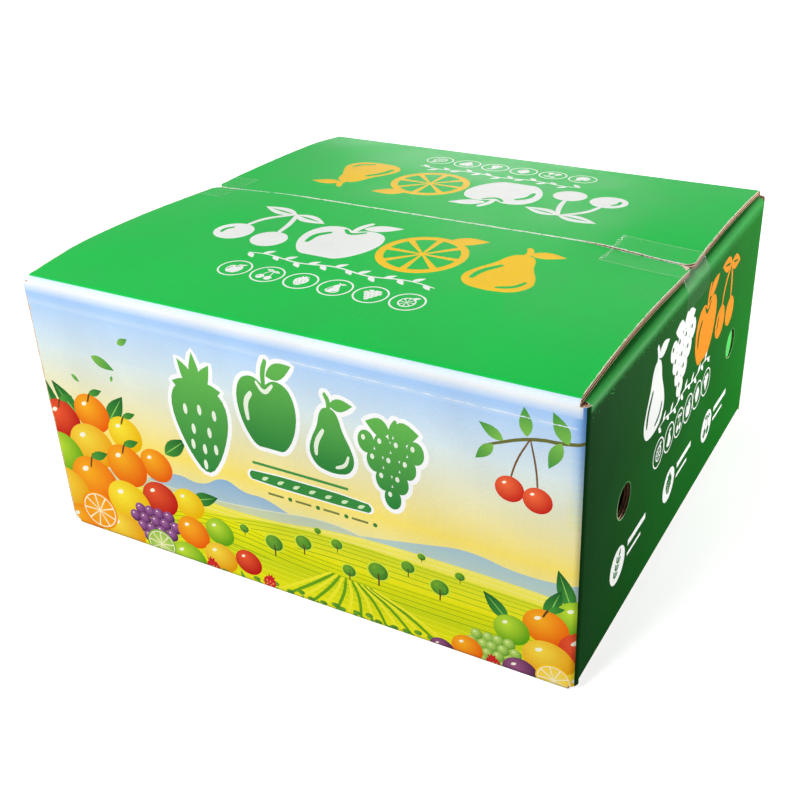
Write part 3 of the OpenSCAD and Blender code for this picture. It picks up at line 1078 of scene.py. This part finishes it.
def torn_corner(art, s, v, way, rng):
    """The outer liner has lifted at a flap's corner, and the pinkish paper under it shows."""
    ring = [(1.5, -9), (1.5, 2), (-7, 2), (-5.4, -0.6), (-3.2, -1.2), (-2.0, -3.6), (-0.4, -5.2)]
    ring = [(s + way * (x + rng.uniform(-0.4, 0.4)), v + y + rng.uniform(-0.4, 0.4)) for x, y in ring]
    paint(art, ring, (238, 206, 190))


rng = Random(5)
for name, turn, reach, lift, shift in (
    ("top_flap_front", 0, FRONT_REACH, front_lift, (-4, 0)),
    ("top_flap_rear", 180, REAR_REACH, rear_lift, (6, -22)),
):
    end = FLAP_START + reach - SEAM_HALF
    art = top_print(*shift)
    crease_marks(art, rng, -END_S, END_S, end - 0.3, 1.3)
    for s in (-194.6, 194.6):
        upright_marks(art, rng, FLAP_START, end - 8, s, 1, 0.8, 0.6, (232, 226, 200))
    if turn == 0:
        torn_corner(art, 192, end - 1, 1, rng)
    creases = lattice(-END_S, END_S, FLAP_START, end, 10, 8)
    creases += fold_lines(HEAD, 1, -END_S, END_S, False)[5:]
    outline = flap_outline(TOP_SPLIT, end, END_S)
    bend = fold_panel(LONG_FACE, turn, -1000, 1000, FOOT, HEAD, 1000, lift)
    board_piece(name, board_sheet(outline, art, creases, bend, joins=((1, TOP_SPLIT),)))

bottom = []
for turn in (0, 180):
    start = FOOT - QUARTER_FOLD
    end = start - (LONG_FACE - FOLD_R - SEAM_HALF)
    art = []
    paint(art, box(-210, end - 10, 210, 10), GREEN)
    outline = flap_outline(start, LOW_SPLIT - end + start, END_S)
    outline = [(s, LOW_SPLIT + start - v) for s, v in outline]
    creases = fold_lines(FOOT, -1, -END_S, END_S, False)[4:]
    bend = fold_panel(LONG_FACE, turn, -1000, 1000, FOOT, HEAD, 1000)
    bottom.append(board_sheet(outline, art, creases, bend, joins=((1, LOW_SPLIT),)))
board_piece("bottom_flaps", *bottom)


# End walls. Each has two vent holes cut through it; at its foot and head the fold leads into an end
# flap. The left wall also folds round behind the picture panel as the glue tab.
VENT_R, VENT_S, VENT_V = 11.7, 121.0, 97.0
WALL_LOW, WALL_HIGH = 9.55, 190.6
# Upright folds start at WALL_S, or on the tab's side at TAB_S; the end flaps are CUT_S to each side
WALL_S, TAB_S, CUT_S = 185, 181, 184
END_FACE = 200
TAB_WIDE, TAB_SLANT = 31, 10
FLAP_ROOT = 12
END_SPLIT = WALL_HIGH + QUARTER_FOLD + FLAP_ROOT
END_LOW_SPLIT = WALL_LOW - QUARTER_FOLD - FLAP_ROOT
# The green runs from dark at the wall's left end to lighter at its right end
WALL_GREEN = ((0, 56, 10), (4, 112, 18), (-WALL_S, 0), (2 * WALL_S, 0))
# Lighter green painted over the wall's head fold: a painted highlight for the light that the round fold
# catches
FOLD_HIGHLIGHT_GREEN = (42, 150, 60)


def end_print():
    """Four emblems, a vine, six rings, and three discs that each have two short bars."""
    art = []
    paint(art, box(-260, -30, 260, 240), *WALL_GREEN)
    dark, light = WALL_GREEN[:2]
    # Painted highlight on the head fold: the lighter green covers the fold and blends down into the wall's
    # green, reaching further down towards the right end
    for k in range(20):
        share = (k + 0.5) / 20
        tone = tuple(a + (b - a) * share for a, b in zip(dark, light))
        left, right = -186 + 18.6 * k, -186 + 18.6 * (k + 1)
        fold_highlight = box(left, WALL_HIGH - 1 - 7 * share, right, WALL_HIGH + 3)
        paint(art, fold_highlight, FOLD_HIGHLIGHT_GREEN, tone, (0, WALL_HIGH + 3), (0, 4 + 7 * share))
        paint(art, box(left, WALL_HIGH + 3, right, 240), FOLD_HIGHLIGHT_GREEN)
    orange = (255, 148, 30)
    for emblem, s, wide, high, tone in (
        ("pear", -72, 54, 62, WHITE),
        ("grapes", -18, 56, 60, WHITE),
        ("apple", 38, 56, 60, orange),
        ("cherries", 92, 56, 58, orange),
    ):
        stamp(art, emblem, s, 148, wide, high, tone, WALL_GREEN)
    vine = [(-60 + 8 * i, 114.5 + 1.8 * sin(1.1 * i)) for i in range(16)]
    paint(art, ribbon(vine, 1.4, 0.5), WHITE)
    for i, (s, v) in enumerate(vine[:-1]):
        paint(art, leaf(s + 1, v, 8, 3.6, 48 if i % 2 else -42), WHITE)
    for i, emblem in enumerate(("citrus", "pear", "cherries", "apple", "berry", "grapes")):
        s = -55 + 22 * i
        paint(art, oval(s, 94.5, 11), WHITE)
        paint(art, oval(s, 94.5, 9.9), *WALL_GREEN)
        stamp(art, emblem, s, 94.2, 12, 13, WHITE, WALL_GREEN)
    for emblem, s, v in (("sprig", -125.5, 51.7), ("berry", -23, 51), ("cherries", 71, 49)):
        paint(art, oval(s, v, 13.2), WHITE)
        stamp(art, emblem, s, v, 17, 18, (36, 104, 46), WHITE)
        paint(art, box(s + 18, v + 3, s + 52, v + 7.5), WHITE)
        paint(art, box(s + 18, v - 5, s + 44, v - 2.4), WHITE)
    return art


def fold_specks(art, rng, left, right, level, spread, count, tone):
    """Small lighter specks along a fold."""
    for _ in range(count):
        s, v, size = rng.uniform(left, right), rng.gauss(level, spread), rng.uniform(0.2, 0.6)
        paint(art, oval(s, v, size * rng.uniform(1, 2.6), size * 0.6, rng.uniform(-30, 30), 7), tone)


def wall_bend(turn, right_start=WALL_S):
    return fold_panel(END_FACE, turn, -WALL_S, right_start, WALL_LOW, WALL_HIGH, CUT_S + 0.01)


for name, turn, right_start in (("right_wall", 90, WALL_S), ("left_wall", 270, TAB_S)):
    art = end_print()
    rng = Random(turn)
    # Lighter green specks along the head fold, at the lower edge of its painted highlight
    fold_specks(art, rng, -183, 183, WALL_HIGH - 1.5, 1.8, 190, (60, 150, 72))
    # A pale ring round each vent, palest at its left side: worn board at the cut edge, with a painted
    # highlight on that side
    for s in (-VENT_S, VENT_S):
        rim = oval(s, VENT_V, VENT_R + 0.7)
        paint(art, rim, (176, 214, 160), (70, 150, 76), (s - VENT_R, VENT_V), (VENT_R, 2 * VENT_R))
    left_edge, right_edge = -WALL_S - MID_FOLD, WALL_S + MID_FOLD
    joins = [(1, END_SPLIT), (1, END_LOW_SPLIT), (0, left_edge)]
    if turn == 90:
        half = CUT_S
        right_side = [
            (half, END_LOW_SPLIT), (half, WALL_LOW), (WALL_S, WALL_LOW), (WALL_S, FOOT), (right_edge, FOOT),
            (right_edge, HEAD), (WALL_S, HEAD), (WALL_S, WALL_HIGH), (half, WALL_HIGH), (half, END_SPLIT),
        ]
        joins.append((0, right_edge))
    else:
        half = TAB_S
        tab_start, tab_end = TAB_S + QUARTER_FOLD, TAB_S + QUARTER_FOLD + TAB_WIDE
        right_side = [
            (half, END_LOW_SPLIT), (half, WALL_LOW), (tab_start, WALL_LOW), (tab_end, WALL_LOW + TAB_SLANT),
            (tab_end, WALL_HIGH - TAB_SLANT), (tab_start, WALL_HIGH), (half, WALL_HIGH), (half, END_SPLIT),
        ]
    outline = [
        (left_edge, FOOT), (-WALL_S, FOOT), (-WALL_S, WALL_LOW), (-CUT_S, WALL_LOW), (-CUT_S, END_LOW_SPLIT),
        *right_side,
        (-CUT_S, END_SPLIT), (-CUT_S, WALL_HIGH), (-WALL_S, WALL_HIGH), (-WALL_S, HEAD), (left_edge, HEAD),
    ]
    creases = (
        lattice(-WALL_S, right_start, WALL_LOW, WALL_HIGH, 20, 20)
        + fold_lines(right_start, 1, FOOT, HEAD, True)
        + fold_lines(-WALL_S, -1, FOOT, HEAD, True)[:5]
        + fold_lines(WALL_HIGH, 1, -CUT_S, half, False)
        + fold_lines(WALL_LOW, -1, -CUT_S, half, False)
    )
    if turn == 90:
        # This wall ends half-way round its upright fold, where the back panel takes over
        creases = [line for line in creases if max(line[0][0], line[1][0]) < right_edge + 0.01]
    holes = [oval(s, VENT_V, VENT_R, sides=64) for s in (-VENT_S, VENT_S)]
    bend = wall_bend(turn, right_start)
    board_piece(name, board_sheet(outline, art, creases, bend, holes, joins))

end_flaps = []
for turn, right_end in ((90, CUT_S), (270, TAB_S)):
    for way, start in ((1, END_SPLIT), (-1, END_LOW_SPLIT)):
        edge = flap_outline(start, start + LONG_FACE - FOLD_R - FLAP_ROOT, CUT_S)
        ring = [(min(s, right_end), start + way * (v - start)) for s, v in edge]
        art = []
        paint(art, box(-220, -260, 220, 460), GREEN)
        end_flaps.append(board_sheet(ring, art, [], wall_bend(turn), joins=((1, start),)))
board_piece("end_flaps", *end_flaps)


# Knock-out discs. Each end wall's rear vent still holds its disc of board, pushed in a little at its
# rear edge and held at the front by two nicks that the knife left uncut.
DISC_R, DISC_PUSH = 11.2, radians(5)
NICK_AT, NICK_HALF = 20, 5
discs = []
for turn, way in ((90, 1), (270, -1)):
    wall = wall_bend(turn)
    ring = []
    for i in range(90):
        a = tau * i / 90
        at_nick = abs(abs(degrees(a) - 180) - NICK_AT) < NICK_HALF
        r = VENT_R + 0.1 if at_nick else DISC_R
        ring.append((way * (VENT_S + r * cos(a)), VENT_V + r * sin(a)))
    art = []
    # The disc is printed a lighter green than the wall it was cut from: painted light, for the light that its
    # tilted face catches
    paint(art, oval(way * VENT_S, VENT_V, 14), (84, 214, 100))

    def push_in(point, wall=wall, way=way):
        from_hinge = way * point.x - (VENT_S - DISC_R)
        deep = -point.z - BOARD / 2
        s = VENT_S - DISC_R + from_hinge * cos(DISC_PUSH) - deep * sin(DISC_PUSH)
        depth = BOARD / 2 + deep * cos(DISC_PUSH) + from_hinge * sin(DISC_PUSH)
        return wall(Vector((way * s, point.y, -depth)))

    discs.append(board_sheet(ring, art, [], push_in))
board_piece("vent_discs", *discs)


# Clear tape. Glued plastic film closes the seam at both ends of the top and turns down over the end
# walls, and another length closes the bottom seam. Its cut end is saw-toothed.
SEAM_Y, TAPE_WIDE, TAPE_THICK = 8.0, 48.0, 0.12
# The round fold that the tape turns down over, and how far out its film stands from the board
FLAP_END, FILM_OUT = 195.0, 0.15
TAPE_CENTRE = Vector((END_FACE - FOLD_R, WALL_HIGH))
# Shares of the tape's length: where it leaves the flap, touches the fold, and comes to the wall
OFF_FLAP, ON_FOLD, ON_WALL = 0.45, 0.65, 0.75
STRIPS = 48

clear_tape, tree = new_material("clear_tape")
haze = add(tree, "ShaderNodeAttribute", attribute_name="haze")
place = add(tree, "ShaderNodeTexCoord")
ripple = add(
    tree, "ShaderNodeTexNoise", {"Vector": place.outputs["Object"], "Scale": 90.0, "Detail": 3.0}
)
cover = add(
    tree, "ShaderNodeMapRange", {"Value": haze.outputs["Fac"], "To Min": 0.02, "To Max": 0.34}
)
buckle = add(
    tree, "ShaderNodeBump", {"Height": ripple.outputs["Fac"], "Strength": 0.25, "Distance": 0.001}
)
film = add(
    tree,
    "ShaderNodeBsdfPrincipled",
    {
        "Base Color": (0.86, 0.93, 0.87, 1),
        "Roughness": 0.18,
        "Alpha": cover.outputs[0],
        "Normal": buckle.outputs[0],
        "Coat Weight": 0.15,
        "Coat Roughness": 0.08,
    },
)
add(tree, "ShaderNodeOutputMaterial", {"Surface": film.outputs[0]})


def top_surface(x, y):
    """Height of the closed top at a place, over either flap."""
    fold_start = LONG_FACE - FOLD_R
    if y < SEAM_Y:
        return HEAD + FOLD_R + front_lift(x, y + fold_start)
    return HEAD + FOLD_R + rear_lift(-x, fold_start - y)


def end_tape(name, side, reach, drop, seed):
    """One strip over an end of the seam: on the flaps, across the hollow corner, and down the wall."""
    rng = Random(seed)
    teeth = [rng.uniform(-1.2, 1.2) for _ in range(STRIPS + 1)]
    bm = bmesh.new()
    haze = bm.verts.layers.float.new("haze")
    bmesh.ops.create_grid(bm, x_segments=70, y_segments=STRIPS, size=0.5)
    for v in bm.verts:
        across, length = v.co.y + 0.5, v.co.x + 0.5
        y = SEAM_Y + (across - 0.5) * TAPE_WIDE
        i = round(across * STRIPS)
        saw = (1.1 if i % 2 else -1.1) + teeth[i]
        height = top_surface(side * FLAP_END, y) + FILM_OUT
        touch = pi / 2 - acos(min(FOLD_R / (height - TAPE_CENTRE.y), 1))
        round_r = FOLD_R + TAPE_THICK
        if length <= OFF_FLAP:
            t = length / OFF_FLAP
            top_x = FLAP_END - reach + saw * (1 - t)
            x = top_x + (FLAP_END - top_x) * t
            z = top_surface(side * x, y) + FILM_OUT
            white = 0.0
        elif length <= ON_FOLD:
            t = (length - OFF_FLAP) / (ON_FOLD - OFF_FLAP)
            ex, ez = TAPE_CENTRE.x + round_r * cos(touch), TAPE_CENTRE.y + round_r * sin(touch)
            sag = 0.5 * sin(pi * t) * (0.5 + noise.noise(Vector((y / 6, t * 2, seed))))
            x, z = FLAP_END + (ex - FLAP_END) * t - sag, height + (ez - height) * t
            white = 0.09
        elif length <= ON_WALL:
            a = touch * (1 - (length - ON_FOLD) / (ON_WALL - ON_FOLD))
            x, z = TAPE_CENTRE.x + round_r * cos(a), TAPE_CENTRE.y + round_r * sin(a)
            white = 0.05
        else:
            t = (length - ON_WALL) / (1 - ON_WALL)
            x = END_FACE + TAPE_THICK
            z = TAPE_CENTRE.y - t * (drop + 0.5 * (saw if t == 1 else 0))
            white = 0.03
        rim = min(across, 1 - across) * TAPE_WIDE
        v[haze] = max(white, 0.65 if rim < 0.6 or length < 0.01 or length > 0.99 else 0)
        v.co = Vector((side * x, y, z)) * MM
    bmesh.ops.recalc_face_normals(bm, faces=bm.faces[:])
    bmesh.ops.solidify(bm, geom=bm.faces[:], thickness=TAPE_THICK * MM)
    bmesh.ops.recalc_face_normals(bm, faces=bm.faces[:])
    for f in bm.faces:
        f.smooth = True
    mesh = bpy.data.meshes.new(name)
    bm.to_mesh(mesh)
    bm.free()
    mesh.materials.append(clear_tape)
    piece = bpy.data.objects.new(name, mesh)
    bpy.context.scene.collection.objects.link(piece)
    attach(piece, "root")
    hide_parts(name.replace("tape_film", "tape"))


end_tape("top_tape_film_right", 1, 56, 13, 3)
end_tape("top_tape_film_left", -1, 22, 13, 8)
# The bottom tape lies flat against the board, so it has the same slight haze all over
bottom_film = clear_tape.copy()
bottom_film.node_tree.nodes["Map Range"].inputs["To Min"].default_value = 0.12
for place_in_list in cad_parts["bottom_tape"].material_slots:
    place_in_list.material = bottom_film


# Divider set. Six die-cut strips of brown single-wall board, three along the carton and three across.
# Each is slotted half-way at every crossing, so they lock into a grid that stands loose inside.
divider_liner = kraft("divider_liner", (186, 146, 104), (158, 118, 80))
for name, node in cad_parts.items():
    if "divider" in name:
        for place_in_list in node.material_slots:
            place_in_list.material = divider_liner
